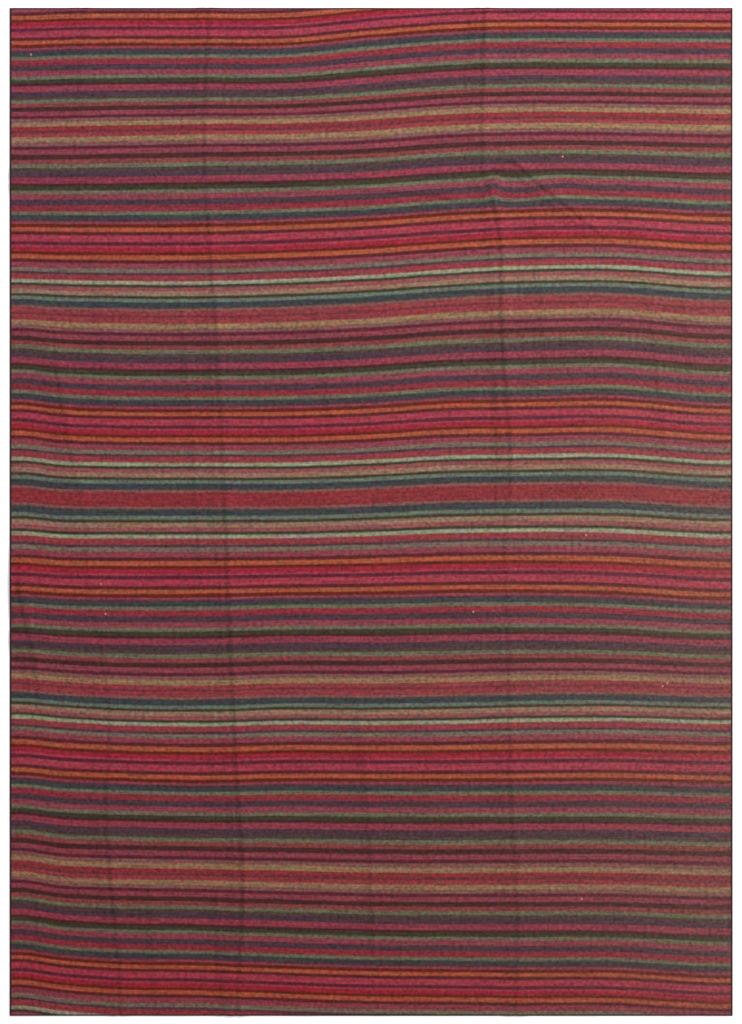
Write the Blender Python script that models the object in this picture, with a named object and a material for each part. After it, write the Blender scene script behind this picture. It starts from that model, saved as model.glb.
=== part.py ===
"""A striped flat-woven kilim lying open on a floor: one sheet of cloth, 1.70 m by 2.37 m.

It was kept folded, so the cloth still stands up a little along its old folds. The origin is on the floor
under the middle of the cloth, +Y runs along its length, +X across it from left to right, and +Z is up.
"""

from collections import namedtuple

import bmesh
import bpy
import numpy as np

MM = 0.001

# Driving dimensions of the cloth
WIDTH = 1700 * MM
LENGTH = 2370 * MM
THICKNESS = 2.5 * MM
EDGE_ROUNDING = 0.8 * MM

# Driving dimensions of an old fold: a low swell, most of them with a narrow furrow pressed along the crest
SWELL_REACH = 45 * MM  # from the crest to where the cloth lies on the floor again
FURROW_REACH = 12 * MM
SHARP = 0.6  # depth of the furrow of a sharp fold, as a share of the swell's height
ROUND = 0.0

Fold = namedtuple("Fold", "furrow rows")

# The folds that run down the cloth, from its left edge to its right edge.
# Columns, in mm: y along the cloth, x of the crest there, height of the swell there.
FOLDS_DOWN = {
    "beside the left edge": Fold(SHARP, (
        (-40, -830, 0),
        (-185, -832, 5),
        (-280, -812, 5),
        (-420, -786, 3),
        (-560, -774, 0),
    )),
    "left": Fold(SHARP, (
        (1185, -680, 2.5),
        (1040, -687, 2),
        (800, -720, 0),
        (480, -752, 0),
        (320, -742, 3.5),
        (100, -704, 3),
        (-20, -678, 2.5),
        (-185, -668, 2),
        (-330, -638, 2.5),
        (-470, -620, 2.5),
        (-700, -627, 3.5),
        (-890, -614, 5),
        (-1060, -599, 3.5),
        (-1185, -593, 2.5),
    )),
    "main left": Fold(SHARP, (
        (1185, -386, 4),
        (830, -397, 3.5),
        (590, -382, 4.5),
        (310, -363, 4),
        (70, -351, 4),
        (-140, -343, 5),
        (-350, -334, 5),
        (-610, -322, 4.5),
        (-820, -307, 5),
        (-1185, -317, 4),
    )),
    "main right": Fold(SHARP, (
        (1185, 261, 5),
        (850, 256, 4),
        (805, 257, 4),
        (745, 276, 5),
        (700, 288, 5.5),
        (400, 303, 5),
        (110, 322, 4.5),
        (-100, 309, 2.5),
        (-320, 319, 3),
        (-610, 322, 4),
        (-940, 339, 3.5),
        (-1185, 338, 3),
    )),
}

# The folds that run across the cloth, from its bottom edge to its top edge.
# Columns, in mm: x across the cloth, y of the crest there, height of the swell there.
FOLDS_ACROSS = {
    "lower": Fold(ROUND, (
        (-850, -300, 2.5),
        (-430, -292, 2.5),
        (-140, -276, 2.5),
        (20, -246, 3),
        (260, -228, 3),
        (400, -300, 2.5),
        (620, -306, 1.5),
        (850, -306, 1),
    )),
    "upper": Fold(SHARP, (
        (-850, 778, 2.5),
        (-400, 776, 3.5),
        (-140, 762, 3),
        (140, 741, 3.5),
        (250, 735, 4),
        (315, 818, 4.5),
        (390, 768, 5),
        (450, 721, 4.5),
        (567, 627, 2.5),
        (640, 590, 0),
        (850, 590, 0),
    )),
}

# Mesh lines lie at these distances on each side of a fold, and about one every FILL between two folds
FOLD_LINES = (FURROW_REACH, 0.6 * SWELL_REACH, SWELL_REACH)
FILL = 115 * MM
CROWDED = 0.42  # of a narrow gap between two folds, the most that the lines of one of them take
CROSSING_PASSES = 3
CORNER = np.radians(60)  # a bend sharper than this is an edge of the cloth

YARN_RED = (0.21, 0.063, 0.068, 1.0)


def through(at, places, values):
    """The value at a place on a soft curve through the given values, level at both ends."""
    order = np.argsort(places)
    places = np.asarray(places, float)[order]
    values = np.asarray(values, float)[order]
    at = min(max(at, places[0]), places[-1])
    after = min(int(np.searchsorted(places, at, side="right")), len(places) - 1)
    before = after - 1
    slopes = np.gradient(values, places)
    slopes[0] = slopes[-1] = 0.0
    span = places[after] - places[before]
    t = (at - places[before]) / span
    return (
        (1 + 2 * t) * (1 - t) ** 2 * values[before]
        + t * (1 - t) ** 2 * span * slopes[before]
        + t * t * (3 - 2 * t) * values[after]
        + t * t * (t - 1) * span * slopes[after]
    )


def crest(fold, at):
    """Where the fold's crest lies, in metres, at a place along it."""
    along, across, _ = zip(*fold.rows)
    return through(at / MM, along, across) * MM


def height(fold, at):
    """How high the swell of the fold stands, in metres, at a place along it."""
    along, _, tall = zip(*fold.rows)
    return max(0.0, through(at / MM, along, tall)) * MM


def hump(distance, reach):
    """A soft hump, from 1 on the fold to 0 at its reach."""
    if abs(distance) >= reach:
        return 0.0
    return 0.5 * (1 + np.cos(np.pi * distance / reach))


def lift(x, y):
    """How far the underside of the cloth stands off the floor at a point."""
    swell = 0.0
    furrow = 0.0
    for folds, along, across in ((FOLDS_DOWN, y, x), (FOLDS_ACROSS, x, y)):
        for fold in folds.values():
            away = across - crest(fold, along)
            tall = height(fold, along)
            swell = max(swell, tall * hump(away, SWELL_REACH))
            furrow = max(furrow, fold.furrow * tall * hump(away, FURROW_REACH))
    return max(0.0, swell - furrow)


def lines_at(at, folds, side):
    """Where the mesh lines cross one section of the cloth: close beside its folds, and wide apart between them."""
    stops = [-side / 2, *(crest(fold, at) for fold in folds.values()), side / 2]
    # The number of lines in a gap is the same in every section, so it comes from the folds' mean places
    means = [np.mean([row[1] for row in fold.rows]) * MM for fold in folds.values()]
    means = [-side / 2, *means, side / 2]
    lines = [stops[0]]
    for k, (start, end) in enumerate(zip(stops, stops[1:])):
        crowding = min(1.0, CROWDED * (end - start) / SWELL_REACH)
        steps = [crowding * step for step in FOLD_LINES]
        after = [start + step for step in steps] if k > 0 else []
        before = [end - step for step in reversed(steps)] if k < len(folds) else []
        first = max([start, *after])
        last = min([*before, end])
        free = means[k + 1] - means[k] - SWELL_REACH * (bool(after) + bool(before))
        pieces = max(1, round(free / FILL))
        between = [first + (last - first) * piece / pieces for piece in range(1, pieces)]
        lines += after + between + before + [end]
    return lines


def make_cloth():
    """The cloth as a net whose lines follow the folds, with its top straight above its underside."""
    columns = len(lines_at(0.0, FOLDS_DOWN, WIDTH))
    rows = len(lines_at(0.0, FOLDS_ACROSS, LENGTH))
    net = bmesh.new()
    bmesh.ops.create_grid(net, x_segments=columns - 1, y_segments=rows - 1, size=1.0)
    for vertex in net.verts:
        column = round((vertex.co.x + 1) / 2 * (columns - 1))
        row = round((vertex.co.y + 1) / 2 * (rows - 1))
        x = vertex.co.x * WIDTH / 2
        for _ in range(CROSSING_PASSES):
            y = lines_at(x, FOLDS_ACROSS, LENGTH)[row]
            x = lines_at(y, FOLDS_DOWN, WIDTH)[column]
        vertex.co = (x, y, lift(x, y))
    made = bmesh.ops.extrude_face_region(net, geom=net.faces[:], use_keep_orig=True)
    top = [item for item in made["geom"] if isinstance(item, bmesh.types.BMVert)]
    bmesh.ops.translate(net, verts=top, vec=(0, 0, THICKNESS))
    bmesh.ops.recalc_face_normals(net, faces=net.faces)
    mesh = bpy.data.meshes.new("kilim")
    net.to_mesh(mesh)
    net.free()
    return mesh


def woven_wool():
    """The overall colour of the stripes, on matt wool."""
    material = bpy.data.materials.new("woven wool")
    material.use_nodes = True
    shader = material.node_tree.nodes["Principled BSDF"]
    shader.inputs["Base Color"].default_value = YARN_RED
    shader.inputs["Roughness"].default_value = 0.95
    shader.inputs["Metallic"].default_value = 0.0
    return material


def make_kilim():
    """The whole kilim: one piece of cloth with its edges rounded."""
    kilim = bpy.data.objects.new("kilim", make_cloth())
    bpy.context.scene.collection.objects.link(kilim)
    kilim.data.materials.append(woven_wool())
    rounding = kilim.modifiers.new("edge rounding", "BEVEL")
    rounding.width = EDGE_ROUNDING
    rounding.segments = 1
    rounding.limit_method = "ANGLE"
    rounding.angle_limit = CORNER
    kilim.data.shade_smooth()
    kilim.data.set_sharp_from_angle(angle=CORNER)


for leftover in list(bpy.data.objects):
    bpy.data.objects.remove(leftover)
make_kilim()
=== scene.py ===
"""The striped kilim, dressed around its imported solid, as it lies open on a pale floor.

Places are in metres unless a name or a heading says otherwise. X runs across the cloth, Y up its length,
and Z up from the floor.
"""

from collections import namedtuple

import bmesh
import bpy
import numpy as np
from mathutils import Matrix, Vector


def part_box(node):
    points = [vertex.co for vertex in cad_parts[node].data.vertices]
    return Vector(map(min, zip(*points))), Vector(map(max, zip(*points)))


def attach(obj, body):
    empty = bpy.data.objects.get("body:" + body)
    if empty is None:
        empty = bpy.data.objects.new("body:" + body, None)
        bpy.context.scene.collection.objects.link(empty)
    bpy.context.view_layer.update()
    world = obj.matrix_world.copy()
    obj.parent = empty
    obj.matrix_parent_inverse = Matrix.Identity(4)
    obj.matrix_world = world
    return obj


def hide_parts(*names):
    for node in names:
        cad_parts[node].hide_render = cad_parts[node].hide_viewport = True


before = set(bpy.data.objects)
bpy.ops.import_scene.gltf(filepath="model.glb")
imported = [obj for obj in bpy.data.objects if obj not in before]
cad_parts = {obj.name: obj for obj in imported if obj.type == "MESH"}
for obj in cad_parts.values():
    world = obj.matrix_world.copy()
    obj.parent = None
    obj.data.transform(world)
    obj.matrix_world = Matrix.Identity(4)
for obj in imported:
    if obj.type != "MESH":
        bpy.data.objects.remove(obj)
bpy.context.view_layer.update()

MM = 0.001

# The view
# The photograph was taken from straight above the middle of the rug, from far enough away that its sides
# stay parallel. One pixel of it is 2.352 mm of cloth.

PHOTO_HEIGHT = 1024
PIXEL = 2.352 * MM
CAMERA_HEIGHT = 6.0
CAMERA_AIM = (-0.4 * MM, -0.3 * MM)
FILM = 36.0  # the longer side of the film, in mm

view = bpy.data.cameras.new("view")
view.sensor_width = FILM
view.lens = FILM * CAMERA_HEIGHT / (PHOTO_HEIGHT * PIXEL)
camera = bpy.data.objects.new("camera", view)
camera.location = (*CAMERA_AIM, CAMERA_HEIGHT)
bpy.context.scene.collection.objects.link(camera)
bpy.context.scene.camera = camera

# The cloth
# One length of weft-faced wool, woven in a single piece on a plain loom, with painted shade along its four
# edges. It was stored folded in three, so old folds and creases still stand up from the floor.

low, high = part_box("kilim")
WIDTH = high.x - low.x
LENGTH = high.y - low.y
THICKNESS = 2.5 * MM
EDGE_ROUNDING = 1.0 * MM
CORNER = np.radians(60)  # a bend sharper than this is an edge of the cloth

Fold = namedtuple("Fold", "furrow rows")
SHARP = 0.6  # depth of the furrow along a sharp fold's crest, as a share of the fold's height
ROUND = 0.0

# Main folds down the cloth, from left to right.
# Columns, in mm: y along the cloth, x of the crest there, height of the fold there.
FOLDS_DOWN = {
    "beside the left edge": Fold(SHARP, (
        (-40, -830, 0), (-185, -832, 5), (-280, -812, 5), (-420, -786, 3), (-560, -774, 0),
    )),
    "left": Fold(SHARP, (
        (1185, -680, 2.5), (1040, -687, 2), (800, -720, 0), (480, -752, 0), (320, -742, 3.5),
        (100, -704, 3), (-20, -678, 2.5), (-185, -668, 2), (-330, -638, 2.5), (-470, -620, 2.5),
        (-700, -627, 3.5), (-890, -614, 5), (-1060, -599, 3.5), (-1185, -593, 2.5),
    )),
    "main left": Fold(SHARP, (
        (1185, -386, 4), (830, -397, 3.5), (590, -382, 4.5), (310, -363, 4), (70, -351, 4),
        (-140, -343, 5), (-350, -334, 5), (-610, -322, 4.5), (-820, -307, 5), (-1185, -317, 4),
    )),
    "main right": Fold(SHARP, (
        (1185, 261, 5), (850, 256, 4), (805, 257, 4), (745, 276, 5), (700, 288, 5.5), (400, 303, 5),
        (110, 322, 4.5), (-100, 309, 2.5), (-320, 319, 3), (-610, 322, 4), (-940, 339, 3.5), (-1185, 338, 3),
    )),
}

# Main folds across the cloth. Columns, in mm: x across the cloth, y of the crest there, height there.
FOLDS_ACROSS = {
    "lower": Fold(ROUND, (
        (-850, -300, 2.5), (-430, -292, 2.5), (-140, -276, 2.5), (20, -246, 3), (260, -228, 3),
        (400, -300, 2.5), (620, -306, 1.5), (850, -306, 1),
    )),
    "upper": Fold(SHARP, (
        (-850, 778, 2.5), (-400, 776, 3.5), (-140, 762, 3), (140, 741, 3.5), (250, 735, 4),
        (315, 818, 4.5), (390, 768, 5), (450, 721, 4.5), (567, 627, 2.5), (640, 590, 0), (850, 590, 0),
    )),
}

# Slight creases, all of them down the cloth, each a single soft line that fades out at both ends.
# In mm: x and y of its top and of its foot, how far its middle bends to the right, and its height.
Crease = namedtuple("Crease", "top foot bend tall")
CREASES_DOWN = {
    "left shoulder": Crease((-765, 860), (-740, 500), 10, 1),
    "left upper": Crease((-718, 830), (-648, 200), 38, 1.5),
    "left head": Crease((-498, 850), (-402, -240), 15, 1.5),
    "beside main left": Crease((-392, 520), (-375, 280), 0, 1.5),
    "by main left": Crease((-380, -410), (-374, -710), 0, 1.5),
    "left foot": Crease((-376, -860), (-345, -1250), 3, 2),
    "left corner": Crease((-530, -840), (-505, -1185), 0, 1.5),
    "far left corner": Crease((-796, -850), (-775, -1120), 0, 1),
    "middle upper": Crease((-140, 520), (-88, 120), 0, 2),
    "beside middle upper": Crease((-80, 450), (-68, 290), 0, 1),
    "middle lower": Crease((-48, -400), (-2, -1080), 16, 2),
    "middle foot": Crease((136, -430), (158, -1060), -16, 1),
    "in main right": Crease((283, 340), (293, 90), 0, 1.5),
    "beside main right": Crease((378, 740), (406, 330), 0, 1.5),
    "right foot": Crease((442, -720), (466, -990), 0, 1),
    "right upper": Crease((584, 760), (686, 60), 25, 1.5),
    "right edge": Crease((722, 560), (748, 310), 0, 1.5),
    "right lower": Crease((678, -500), (714, -750), 6, 1),
}
FADE = 2  # how quickly a crease rises from its ends to its full height

# From the crest of a fold to where the cloth lies flat again, and from the crest to the rim of its furrow
FOLD_REACH = (45 * MM, 12 * MM)
CREASE_REACH = (22 * MM, 9 * MM)
DARKENED_REACH = 12 * MM  # from the crest to where the painted shade and dirt end
TALL = 5 * MM  # a fold of this height gets the darkest painted shade and dirt
SLIGHT = 2.5 * MM

# The cloth is nowhere quite flat. Columns, in mm: wavelength across, wavelength along, height. The last one
# is the phase.
RIPPLES = (
    (310, 900, 0.25, 0.4),
    (170, -640, 0.18, 2.1),
    (95, 1500, 0.10, 4.0),
    (420, 260, 0.20, 5.2),
    (-230, 150, 0.10, 1.3),
)

# The wefts don't run straight: they hang at the left end near the top of the cloth and at the right end near
# its foot. Read off ruled strips of the photograph, for one stripe in each row. The column at -730 came last,
# from enlarged pairs of photograph and render. In mm: y where the stripe crosses the middle of the cloth,
# then how far it lies above that at each of these x.
COURSE_AT = (-829, -730, -613, -401, -189, 0, 187, 340, 563, 831)
COURSES = {
    1126: (-25, -22, -20, -20, -18, 0, 14, 19, 19, 18),
    889: (-16, -15, -13, -9, -7, 0, 13, 18, 18, 13),
    616: (-12, -14, -15, -15, -9, 0, 13, 21, 23, 9),
    238: (9, -2, -7, -8, -7, 0, 12, 14, 18, -1),
    -53: (2, -5, -6, -6, -5, 0, 7, 9, 8, -5),
    -183: (2, -4, -6, -6, -2, 0, 4, 5, 1, -13),
    -496: (15, 7, 0, -4, 1, 0, 2, 6, 8, 2),
    -621: (16, 7, 2, -3, 1, 0, 0, 1, 2, -4),
    -838: (29, 16, 12, 8, 4, 0, -1, 0, 0, -6),
    -1144: (39, 27, 18, 14, 6, 0, -2, -4, -4, -18),
}

# Where the main right fold crosses the upper one, the cloth is pinched. Columns, in mm: x, y, reach across,
# reach along, how far the wefts are pushed up.
PINCHES = (
    (287, 765, 26, 60, 7),
    (350, 758, 68, 62, -6),
    (460, 765, 80, 60, 4),
)

# The net of the cloth. Its lines follow the main folds, and lie closer together beside them. The crowding is
# how many times more lines there are on a fold than far from one.
COLUMNS = 358
ROWS = 118
COLUMN_CROWDING = 0.6
ROW_CROWDING = 7.0
CROWD_REACH = 22 * MM
CROWD_STEPS = 5000  # how finely the crowding is worked out along a side
PASSES = 3  # how often a place is worked out again from the last one


def through(at, places, values):
    """Values on a soft curve through the given ones, level at both ends. Each point may have its own."""
    order = np.argsort(places)
    places = np.asarray(places, float)[order]
    values = np.asarray(values, float)[order].reshape(len(places), -1)
    values = np.broadcast_to(values, (len(places), len(at)))
    at = np.clip(at, places[0], places[-1])
    after = np.clip(np.searchsorted(places, at, side="right"), 1, len(places) - 1)
    before = after - 1
    slopes = np.gradient(values, places, axis=0)
    slopes[0] = slopes[-1] = 0.0
    span = places[after] - places[before]
    t = (at - places[before]) / span
    point = np.arange(len(at))
    return (
        (1 + 2 * t) * (1 - t) ** 2 * values[before, point]
        + t * (1 - t) ** 2 * span * slopes[before, point]
        + t * t * (3 - 2 * t) * values[after, point]
        + t * t * (t - 1) * span * slopes[after, point]
    )


def crest(fold, at):
    """Where the fold's crest lies at places along it."""
    along, across, _ = zip(*fold.rows)
    return through(at / MM, along, across) * MM


def height(fold, at):
    """How high the fold stands at places along it."""
    along, _, tall = zip(*fold.rows)
    return np.maximum(0, through(at / MM, along, tall)) * MM


def crease_line(crease, y):
    """Where a slight crease lies, and how high it stands, at places along it."""
    (top_x, top_y), (foot_x, foot_y) = crease.top, crease.foot
    share = np.clip((y / MM - foot_y) / (top_y - foot_y), 0, 1)
    middling = 4 * share * (1 - share)
    place = foot_x + (top_x - foot_x) * share + crease.bend * middling
    return place * MM, crease.tall * MM * np.clip(FADE * middling, 0, 1)


def hump(distance, reach):
    """A soft hump, from 1 on the fold to 0 at its reach."""
    return 0.5 * (1 + np.cos(np.pi * np.clip(np.abs(distance) / reach, 0, 1)))


def folds_near(x, y):
    """The furrow, distance, height and reach of each fold and crease, and the height at which its painted
    shade and dirt are darkest.

    Its distance is that of each point from its crest.
    """
    for fold in FOLDS_DOWN.values():
        yield fold.furrow, x - crest(fold, y), height(fold, y), FOLD_REACH, TALL
    for fold in FOLDS_ACROSS.values():
        yield fold.furrow, y - crest(fold, x), height(fold, x), FOLD_REACH, TALL
    for crease in CREASES_DOWN.values():
        place, tall = crease_line(crease, y)
        yield SHARP, x - place, tall, CREASE_REACH, SLIGHT


def lift(x, y):
    """How far the underside of the cloth stands off the floor."""
    swell = np.zeros(len(x))
    pressed = np.zeros(len(x))
    for furrow, away, tall, (wide, narrow), _ in folds_near(x, y):
        swell = np.maximum(swell, tall * hump(away, wide))
        pressed = np.maximum(pressed, furrow * tall * hump(away, narrow))
    waves = sum(
        tall * MM * np.sin(2 * np.pi * (x / across + y / along) / MM + phase)
        for across, along, tall, phase in RIPPLES
    )
    return np.maximum(0, swell - pressed + waves)


def soiling(x, y):
    """How dark the sharp folds are painted with shade and dirt, from 0 to 1."""
    shade_and_dirt = np.zeros(len(x))
    for furrow, away, tall, _, full in folds_near(x, y):
        shade_and_dirt = np.maximum(shade_and_dirt, furrow / SHARP * np.minimum(1, tall / full) * hump(away, DARKENED_REACH))
    return shade_and_dirt


def weft_of(x, y):
    """The y at which the weft through each point crosses the middle of the cloth."""
    courses = [through(x / MM, COURSE_AT, row) for row in COURSES.values()]
    unpinched = y - MM * sum(
        rise * hump(x - px * MM, across * MM) * hump(y - py * MM, along * MM)
        for px, py, across, along, rise in PINCHES
    )
    middle = unpinched
    for _ in range(PASSES):
        middle = unpinched - through(middle / MM, list(COURSES), courses) * MM
    return middle


def crowded(side, crests, lines, crowding):
    """Places for the net's lines across the cloth, closer together beside the folds."""
    fine = np.linspace(-side / 2, side / 2, CROWD_STEPS + 1)
    density = 1 + crowding * sum(np.exp(-(((fine - place) / CROWD_REACH) ** 2)) for place in crests)
    share = np.concatenate([[0], np.cumsum(density[1:] + density[:-1])])
    return np.interp(np.linspace(0, share[-1], lines + 1), share, fine)


def followed(at, folds, means, side, lines):
    """The net's lines, each moved sideways with the folds that it lies between."""
    stops = [-side / 2, *means, side / 2]
    moved = np.array(lines)
    for k, (fold, mean) in enumerate(zip(folds.values(), means)):
        share = np.interp(lines, stops, np.eye(len(stops))[k + 1])
        moved += share * (crest(fold, at) - mean)
    return moved


def mean_places(folds):
    """Where each fold's crest lies on average."""
    return [np.mean([row[1] for row in fold.rows]) * MM for fold in folds.values()]


def net_points(u, v):
    """Places of the net's points, from their column and row as numbers from -1 to 1."""
    down, across = mean_places(FOLDS_DOWN), mean_places(FOLDS_ACROSS)
    columns = crowded(WIDTH, down, COLUMNS, COLUMN_CROWDING)[np.rint((u + 1) / 2 * COLUMNS).astype(int)]
    rows = crowded(LENGTH, across, ROWS, ROW_CROWDING)[np.rint((v + 1) / 2 * ROWS).astype(int)]
    x = columns
    for _ in range(PASSES):
        y = followed(x, FOLDS_ACROSS, across, LENGTH, rows)
        x = followed(y, FOLDS_DOWN, down, WIDTH, columns)
    return x, y


def corners_of(mesh):
    """The places of a mesh's vertices, one row each."""
    places = np.empty(3 * len(mesh.vertices))
    mesh.vertices.foreach_get("co", places)
    return places.reshape(-1, 3)


net = bmesh.new()
bmesh.ops.create_grid(net, x_segments=COLUMNS, y_segments=ROWS, size=1.0)
grid = np.array([vertex.co for vertex in net.verts])
grid_x, grid_y = net_points(grid[:, 0], grid[:, 1])
for vertex, place in zip(net.verts, np.stack([grid_x, grid_y, lift(grid_x, grid_y)], axis=1)):
    vertex.co = place
made = bmesh.ops.extrude_face_region(net, geom=net.faces[:], use_keep_orig=True)
top = [item for item in made["geom"] if isinstance(item, bmesh.types.BMVert)]
bmesh.ops.translate(net, verts=top, vec=(0, 0, THICKNESS))
bmesh.ops.recalc_face_normals(net, faces=net.faces)
rim = [edge for edge in net.edges if edge.calc_face_angle(0) > CORNER]
bmesh.ops.bevel(
    net, geom=rim, offset=EDGE_ROUNDING, offset_type="OFFSET", segments=3, profile=0.5,
    affect="EDGES", material=-1,
)
cloth_mesh = bpy.data.meshes.new("cloth")
net.to_mesh(cloth_mesh)
net.free()
cloth_mesh.shade_smooth()

places = corners_of(cloth_mesh)
wefts = weft_of(places[:, 0], places[:, 1])
corner_of_face = np.empty(len(cloth_mesh.loops), int)
cloth_mesh.loops.foreach_get("vertex_index", corner_of_face)
weft_map = cloth_mesh.uv_layers.new(name="weft")
weft_map.uv.foreach_set("vector", np.stack([places[:, 0], wefts], axis=1)[corner_of_face].ravel())
# How dark the painted shade and dirt make each point along the folds
shade_and_dirt = cloth_mesh.attributes.new("soiling", "FLOAT", "POINT")
shade_and_dirt.data.foreach_set("value", soiling(places[:, 0], places[:, 1]))

cloth = bpy.data.objects.new("cloth", cloth_mesh)
bpy.context.scene.collection.objects.link(cloth)

# The dyes, given in steps of five, as they look in the photograph's light, in red, green and blue
# out of 255. Like stripes share a dye.
DYES = {
    "rust": (105, 35, 25),
    "orange": (170, 85, 60),
    "wine": (95, 35, 40),
    "plum": (95, 35, 50),
    "pink": (165, 60, 75),
    "scarlet": (155, 40, 55),
    "crimson": (140, 50, 55),
    "garnet": (115, 50, 55),
    "red": (145, 60, 65),
    "brick": (135, 65, 65),
    "madder": (140, 50, 60),
    "rose": (140, 65, 75),
    "raspberry": (145, 60, 75),
    "dusty rose": (145, 80, 80),
    "buff": (150, 115, 95),
    "stone": (120, 105, 90),
    "taupe": (130, 85, 80),
    "tan": (150, 115, 85),
    "brown": (75, 40, 40),
    "dark olive": (65, 60, 45),
    "olive brown": (80, 65, 55),
    "sage": (110, 105, 85),
    "light green": (150, 150, 125),
    "teal": (105, 115, 100),
    "navy": (60, 65, 70),
    "charcoal": (70, 65, 65),
    "dark teal": (60, 65, 65),
    "aubergine": (80, 55, 65),
    # Not a dye: painted shade along the edges
    "painted edge shade": (60, 30, 35),
    # Not a dye: a pale painted sheen
    "sheen veil": (140, 105, 100),
}
LIGHT = 1.2  # how bright the light on the cloth is, where a white sheet would be 1

# The drafts, as a weaver notes them: yarn and number of picks. The two long ones are in two halves.
PICK = 1.18 * MM
BLEND = 0.8  # how many picks a yarn's colour runs into the next
DRAFTS = {
    "plains": (
        (("tan", 10), ("taupe", 8), ("plum", 7), ("rose", 10), ("brown", 10), ("brick", 9), ("sage", 8),
         ("olive brown", 6), ("aubergine", 13)),
        (("raspberry", 12), ("brown", 6), ("dark olive", 8), ("sage", 7), ("rose", 11), ("aubergine", 12),
         ("madder", 12), ("sage", 7), ("dark teal", 7), ("aubergine", 6), ("rose", 5)),
    ),
    "pinks": (
        (("rust", 7), ("orange", 8), ("wine", 7), ("pink", 13), ("plum", 7), ("pink", 4), ("scarlet", 9),
         ("rust", 6), ("orange", 9), ("wine", 7)),
        (("rose", 11), ("stone", 8), ("aubergine", 5), ("red", 12), ("light green", 7), ("dark olive", 6),
         ("dusty rose", 8), ("buff", 9), ("dark olive", 6), ("teal", 7), ("navy", 8), ("charcoal", 5),
         ("taupe", 5)),
    ),
    "heart": ((("crimson", 9), ("garnet", 6), ("red", 9)),),
    "streak": ((("red", 9), ("garnet", 4), ("red", 11)),),
}
GROUND = "crimson"  # the wide stripe across the middle of the cloth

# The bands down the middle of the cloth, from its top edge. After the draft: y in mm where its first yarn
# starts, where its second half starts if it has one, and where it ends. Some run upwards, so the pattern
# turns round there.
BANDS = (
    ("pinks", 1115, 1199, 1318),
    ("plains", 922, 1008, 1115),
    ("heart", 922, 896),
    ("plains", 896, 800, 691),
    ("pinks", 691, 599, 486),
    ("streak", 486, 455),
    ("plains", 455, 360, 250),
    ("pinks", 250, 164, 52),
    ("pinks", -195, -101, 19),
    ("plains", -403, -307, -195),
    ("streak", -403, -431),
    ("pinks", -635, -541, -431),
    ("plains", -848, -748, -635),
    ("heart", -848, -876),
    ("plains", -876, -968, -1073),
    ("pinks", -1073, -1157, -1272),
)


class Wire:
    """A value in a material. Arithmetic on wires adds the Math nodes that work it out."""

    def __init__(self, finish, socket):
        self.finish = finish
        self.socket = socket

    def math(self, operation, *others):
        return self.finish.math(operation, self, *others)

    def __add__(self, other):
        return self.math("ADD", other)

    def __sub__(self, other):
        return self.math("SUBTRACT", other)

    def __mul__(self, other):
        return self.math("MULTIPLY", other)

    def __truediv__(self, other):
        return self.math("DIVIDE", other)

    def __gt__(self, other):
        return self.math("GREATER_THAN", other)

    def __rsub__(self, other):
        return self.finish.math("SUBTRACT", other, self)

    __radd__ = __add__
    __rmul__ = __mul__


class Finish:
    """A material in the making, put together from its nodes."""

    def __init__(self, name):
        self.material = bpy.data.materials.new(name)
        self.material.use_nodes = True
        self.tree = self.material.node_tree
        self.tree.nodes.clear()

    def add(self, kind, settings=None, feeds=None, gives=0):
        """Adds a node: first its settings, then a value or a wire for each socket that is named."""
        node = self.tree.nodes.new("ShaderNode" + kind)
        for name, value in (settings or {}).items():
            if name == "stops":
                self.set_stops(node.color_ramp, value)
            else:
                setattr(node, name, value)
        for name, value in (feeds or {}).items():
            if isinstance(value, Wire):
                self.tree.links.new(value.socket, node.inputs[name])
            else:
                node.inputs[name].default_value = value
        return Wire(self, node.outputs[gives]) if node.outputs else node

    def set_stops(self, ramp, stops):
        """Gives a colour ramp its stops, each a place and a colour."""
        while len(ramp.elements) > 1:
            ramp.elements.remove(ramp.elements[-1])
        ramp.elements[0].position, ramp.elements[0].color = stops[0]
        for place, colour in stops[1:]:
            ramp.elements.new(place).color = colour

    def math(self, operation, *values, clamped=False):
        settings = {"operation": operation, "use_clamp": clamped}
        return self.add("Math", settings, dict(enumerate(values)))

    def mixed(self, first, second, share):
        """The first colour, changed into the second as the share goes from 0 to 1."""
        return self.add("Mix", {"data_type": "RGBA"}, {"Factor": share, 6: first, 7: second}, gives=2)

    def times(self, colour, shares):
        """A colour, with its red, green and blue each multiplied by its own share."""
        return self.add("VectorMath", {"operation": "MULTIPLY"}, {0: colour, 1: shares})

    def vector(self, x, y, z=0.0):
        return self.add("CombineXYZ", None, {"X": x, "Y": y, "Z": z})

    def x_and_y(self, vector):
        """The first two parts of a vector."""
        return [self.add("SeparateXYZ", None, {"Vector": vector}, part) for part in "XY"]

    def noise(self, x, y, size, detail=2.0, roughness=0.5, gives=0):
        """Smooth noise, in blotches of about the given size in x and in y."""
        settings = {"noise_dimensions": "2D", "normalize": True}
        place = self.vector(x / size[0], y / size[1])
        feeds = {"Vector": place, "Scale": 1.0, "Detail": detail, "Roughness": roughness}
        return self.add("TexNoise", settings, feeds, gives)

    def speckle(self, x, y):
        """A random value for each pair of whole numbers x and y."""
        feeds = {"Vector": self.vector(x, y)}
        return self.add("TexWhiteNoise", {"noise_dimensions": "2D"}, feeds)


def dyed(yarn):
    """The colour of a yarn for a shader, without the photograph's light."""
    shares = [part / 255 for part in DYES[yarn]]
    plain = [share / 12.92 if share <= 0.04045 else ((share + 0.055) / 1.055) ** 2.4 for share in shares]
    return (*(part / LIGHT for part in plain), 1.0)


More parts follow.
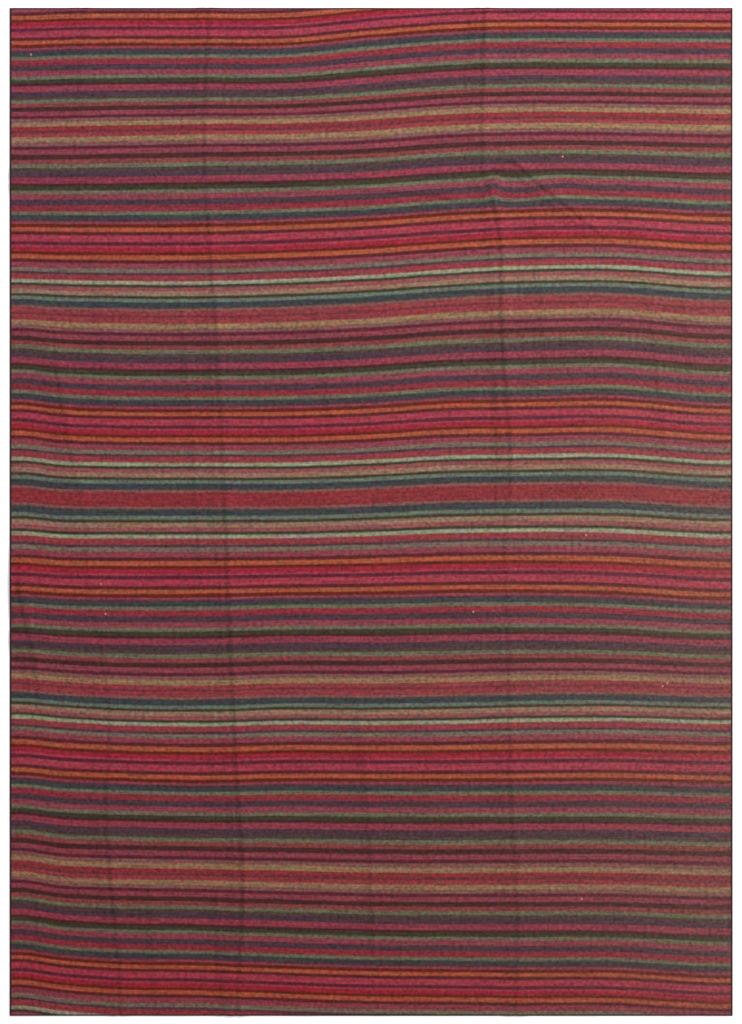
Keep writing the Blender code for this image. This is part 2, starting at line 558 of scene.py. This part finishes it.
def draft_stops(threading):
    """The stops of a draft's colour ramp, from 0 at its first pick to 1 after its last."""
    total = sum(picks for _, picks in threading)
    passed = 0
    stops = []
    for yarn, picks in threading:
        start = passed + BLEND if passed else 0
        passed += picks
        stops += [(start / total, dyed(yarn)), ((passed - BLEND) / total, dyed(yarn))]
    return stops


wool = Finish("striped wool")
across, along = wool.x_and_y(wool.add("UVMap", {"uv_map": "weft"}))

# Ribs of the warp under the weft, a little uneven, and picks that lie half a step lower on every second rib.
# A sway is the size of the blotches in which they wander, across the cloth and along it.
RIB = 2.7 * MM
RIB_WANDER = 1.1 * MM
RIB_SWAY = (19 * MM, 260 * MM)
PICK_WANDER = 1.0 * MM
PICK_SWAY = (70 * MM, 16 * MM)
warp_sway = wool.noise(across, along, RIB_SWAY, detail=3.0) - 0.5
weft_sway = wool.noise(across, along, PICK_SWAY, detail=3.0) - 0.5
rib_place = (across + warp_sway * (2 * RIB_WANDER)) / RIB
second_rib = (rib_place * 0.5).math("FRACT") > 0.5
pick_place = (along + weft_sway * (2 * PICK_WANDER)) / PICK + second_rib * 0.5
pick = pick_place.math("FLOOR")
thread = (pick - second_rib * 0.5 + 0.5) * PICK

# Loose fibres, which carry the colour of each yarn a little way into the next
FIBRE = (0.8 * MM, 0.3 * MM)  # size of each, across the cloth and along it
FUZZ = 2.6 * PICK
fibre = wool.speckle((across / FIBRE[0]).math("FLOOR"), (along / FIBRE[1]).math("FLOOR")) - 0.5
weft_line = thread + fibre * FUZZ

# The yarn of each pick, looked up in the drafts
colour = dyed(GROUND)
for name, halves in DRAFTS.items():
    for half, threading in enumerate(halves):
        place = 0.0
        inside = 0.0
        for band in (row for row in BANDS if row[0] == name):
            first, last = (edge * MM for edge in band[half + 1:half + 3])
            share = wool.math("DIVIDE", weft_line - first, last - first, clamped=True)
            within = share * (1 - share) > 0.0
            place = share * within + place
            inside = within + inside
        yarn = wool.add("ValToRGB", {"stops": draft_stops(threading)}, {"Fac": place})
        colour = wool.mixed(colour, yarn, inside)

# Handspun yarn. Each bead, where a pick passes over a rib, has its own tone. Each pick has flecks and a tone
# that drifts along it. The sizes are those of the blotches, across the cloth and along it.
BEAD_TONE = 0.07
LINE_SIZE = (130 * MM, 3.2 * MM)
LINE_TONE = 0.6
FLECK_SIZE = (9 * MM, 8 * MM)
FLECK_TONE = 1.55
bead_tone = wool.speckle(rib_place.math("FLOOR"), pick) - 0.5
line_tone = wool.noise(across, thread, LINE_SIZE, detail=1.0) - 0.5
fleck = wool.noise(across, thread, FLECK_SIZE, roughness=0.7) - 0.5
tone = (1 + bead_tone * BEAD_TONE) * (1 + fleck * FLECK_TONE + line_tone * LINE_TONE)

# The hue of the yarn is flecked and drifts too, in red, green and blue. A row of drifts has the size of the
# blotches, the least share of each that is left, and how much more there can be.
BLUSH_SIZE = (14 * MM, 9 * MM)
BLUSH = (0.6, -0.5, -0.4)
DRIFTS = (
    ((26 * MM, 9 * MM), (0.85, 0.8, 0.8), (0.3, 0.4, 0.4)),
    ((150 * MM, 14 * MM), (0.85, 0.75, 0.78), (0.3, 0.5, 0.44)),
)
blush = wool.noise(across, thread, BLUSH_SIZE, roughness=0.7) - 0.5
colour = wool.times(colour, wool.vector(*(1 + blush * part for part in BLUSH)))
for size, least, span in DRIFTS:
    hue = wool.noise(across, thread, size, roughness=0.6, gives=1)
    shift = wool.add("VectorMath", {"operation": "MULTIPLY_ADD"}, {0: hue, 1: span, 2: least})
    colour = wool.times(colour, shift)

# Relief of the weave: the beads, long streaks down the warp, and the flecks
RIB_SHARE = 0.4  # of a bead's height, the part that the rib alone gives
BEAD_HEIGHT = 0.11 * MM
STREAK_SIZE = (7 * MM, 160 * MM)
STREAK_HEIGHT = 0.13 * MM
FLECK_HEIGHT = 0.06 * MM
rib_side = rib_place.math("FRACT") * 2 - 1
pick_side = pick_place.math("FRACT") * 2 - 1
rib_round = 1 - rib_side * rib_side
pick_round = 1 - pick_side * pick_side
bead = rib_round * (RIB_SHARE + pick_round * (1 - RIB_SHARE))
streak = wool.noise(across, along, STREAK_SIZE) - 0.5
relief = bead * BEAD_HEIGHT + streak * STREAK_HEIGHT + fleck * FLECK_HEIGHT

# Painted light on the wool: a pale painted sheen towards the lower right of the cloth. Its reds are duller
# towards its right side under painted sheen, most at the top. Painted cool light makes it a little cooler at
# its upper left, and painted dim, warm light a deeper red in its lowest quarter. Each row is what the place
# adds to the share of red, green and blue.
SHEEN_VEIL = 0.2
VEIL_SIDE = 4.0  # how closely the painted sheen keeps to the right edge
EVERYWHERE = (1.03, 1.0, 1.02)
TO_THE_RIGHT = (-0.07, 0.0, -0.06)
UPPER_RIGHT = (-0.04, 0.0, 0.0)
UPPER_LEFT = (0.0, 0.06, 0.12)
FOOT = (0.0, -0.1, -0.12)
body_x, body_y = wool.x_and_y(wool.add("TexCoord", None, None, "Object"))
rightward = wool.math("ADD", body_x / WIDTH, 0.5, clamped=True)
lower = wool.math("SUBTRACT", 1.0, body_y * (2 / LENGTH), clamped=True)
at_right = rightward.math("POWER", VEIL_SIDE)
# A pale painted sheen towards the lower right
colour = wool.mixed(colour, dyed("sheen veil"), at_right * lower * SHEEN_VEIL)
upper_right = rightward * (1 - lower)
upper_left = (1 - rightward) * (1 - lower)
foot = wool.math("SUBTRACT", body_y * (-4 / LENGTH), 1.0, clamped=True) * (1 - at_right)
# Painted light: sheen that dulls the reds on the right, cool light at the upper left, dim warm light at the
# foot
colour = wool.times(colour, wool.vector(*(
    plain + rightward * right + upper_right * more_sheen + upper_left * cool_light + foot * dim_warm_light
    for plain, right, more_sheen, cool_light, dim_warm_light in zip(EVERYWHERE, TO_THE_RIGHT, UPPER_RIGHT, UPPER_LEFT, FOOT)
)))

# Painted shade and dirt in the folds, painted shade between the beads, and painted shade along the edges.
# An edge's painted shade has its width, and how much of that its colour takes to come up.
SIDE_EDGE_SHADE = (5.0 * MM, 1.5 * MM)
END_EDGE_SHADE = (4.0 * MM, 1.2 * MM)
FOLD_SHADE_AND_DIRT = 0.21  # how much darker the painted shade and dirt make a fold at most
BETWEEN_BEADS = 0.93  # painted shade: tone of the cloth between its beads, and what a bead adds to it
BEAD_LIGHT = 0.1


def shaded_edge(place, side, width, rise):
    """Where painted shade darkens the two edges at the ends of a side, from 0 on the cloth to 1 on the edges.
    """
    return wool.math("DIVIDE", place.math("ABSOLUTE") - (side / 2 - width), rise, clamped=True)


# Painted shade along the four edges
beside = shaded_edge(body_x, WIDTH, *SIDE_EDGE_SHADE)
at_end = shaded_edge(body_y, LENGTH, *END_EDGE_SHADE)
colour = wool.mixed(colour, dyed("painted edge shade"), beside.math("MAXIMUM", at_end))
# The folds darkened by painted shade and dirt, and the painted shade between the beads
fold_darkening = wool.add("Attribute", {"attribute_name": "soiling"}, None, "Fac")
tone = tone * (1 - fold_darkening * FOLD_SHADE_AND_DIRT) * (BETWEEN_BEADS + bead * BEAD_LIGHT)
colour = wool.add("VectorMath", {"operation": "SCALE"}, {0: colour, "Scale": tone})

shader = wool.add("BsdfPrincipled", None, {
    "Base Color": colour,
    "Roughness": 0.85,
    "Specular IOR Level": 0.1,
    "Sheen Weight": 0.03,
    "Sheen Roughness": 0.6,
    "Normal": wool.add("Bump", None, {"Strength": 1.0, "Distance": 1.0, "Height": relief}),
})
wool.add("OutputMaterial", None, {"Surface": shader})
cloth_mesh.materials.append(wool.material)

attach(cloth, "root")
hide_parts("kilim")

# The lint
# Tufts of pale wool that were left in the yarn when it was spun, half sunk in the face of the cloth and held
# there by the weave.

TUFT = (2.6 * MM, 3.2 * MM, 0.9 * MM)  # half its size across the cloth, along it and up
SHADED_LINT = (0.36, 0.13, 0.12, 1.0)
PALE_LINT = (0.55, 0.21, 0.19, 1.0)
STRAND = (0.5 * MM, 1.5 * MM)  # size of the blotches in which the two meet, across and along

# Where the tufts lie, as x and y in mm
TUFTS_AT = (
    (-800, 1075), (450, 835), (505, -55), (-635, -170), (240, -235), (-625, -240), (685, -410),
    (696, -403), (495, -910),
)

tufts = bmesh.new()
for tuft_x, tuft_y in TUFTS_AT:
    ball = bmesh.ops.create_icosphere(tufts, subdivisions=2, radius=1.0)["verts"]
    face = lift(np.array([tuft_x * MM]), np.array([tuft_y * MM]))[0] + THICKNESS
    bmesh.ops.scale(tufts, vec=TUFT, verts=ball)
    bmesh.ops.translate(tufts, vec=(tuft_x * MM, tuft_y * MM, face), verts=ball)
lint_mesh = bpy.data.meshes.new("lint")
tufts.to_mesh(lint_mesh)
tufts.free()
lint_mesh.shade_smooth()
lint = bpy.data.objects.new("lint", lint_mesh)
bpy.context.scene.collection.objects.link(lint)

fluff = Finish("pale wool")
fluff_x, fluff_y = fluff.x_and_y(fluff.add("TexCoord", None, None, "Object"))
strands = fluff.noise(fluff_x, fluff_y, STRAND, detail=3.0)
fluff.add("OutputMaterial", None, {
    "Surface": fluff.add("BsdfPrincipled", None, {
        "Base Color": fluff.mixed(SHADED_LINT, PALE_LINT, strands),
        "Roughness": 0.95,
    }),
})
lint_mesh.materials.append(fluff.material)

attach(lint, "root")

# The floor and the light
# A pale floor under the rug, and plain soft studio light: an even fill all round, and one large lamp that
# stands well beyond the rug's upper right, so the lower left corner is a little darker.

FLOOR = 12.0
LAMP_AT = (4.5, 3.8, 5.0)
LAMP_SIZE = 2.0
LAMP_POWER = 830.0
FILL = 0.5
FLOOR_GLOW = 0.3  # the floor is lit from below too, as a white table for photographs is

floor_net = bmesh.new()
bmesh.ops.create_grid(floor_net, x_segments=1, y_segments=1, size=FLOOR / 2)
floor_mesh = bpy.data.meshes.new("floor")
floor_net.to_mesh(floor_mesh)
floor_net.free()
floor = bpy.data.objects.new("floor", floor_mesh)
bpy.context.scene.collection.objects.link(floor)
paint = Finish("pale floor")
paint.add("OutputMaterial", None, {
    "Surface": paint.add("BsdfPrincipled", None, {
        "Base Color": (0.9, 0.9, 0.9, 1.0),
        "Roughness": 0.8,
        "Emission Color": (1.0, 1.0, 1.0, 1.0),
        "Emission Strength": FLOOR_GLOW,
    }),
})
floor_mesh.materials.append(paint.material)

lamp_light = bpy.data.lights.new("lamp", "AREA")
lamp_light.shape = "DISK"
lamp_light.size = LAMP_SIZE
lamp_light.energy = LAMP_POWER
lamp = bpy.data.objects.new("lamp", lamp_light)
lamp.location = LAMP_AT
lamp.visible_camera = False
bpy.context.scene.collection.objects.link(lamp)

world = bpy.data.worlds.new("studio")
world.use_nodes = True
world.node_tree.nodes["Background"].inputs["Color"].default_value = (1.0, 1.0, 1.0, 1.0)
world.node_tree.nodes["Background"].inputs["Strength"].default_value = FILL
bpy.context.scene.world = world
bpy.context.scene.view_settings.view_transform = "Standard"
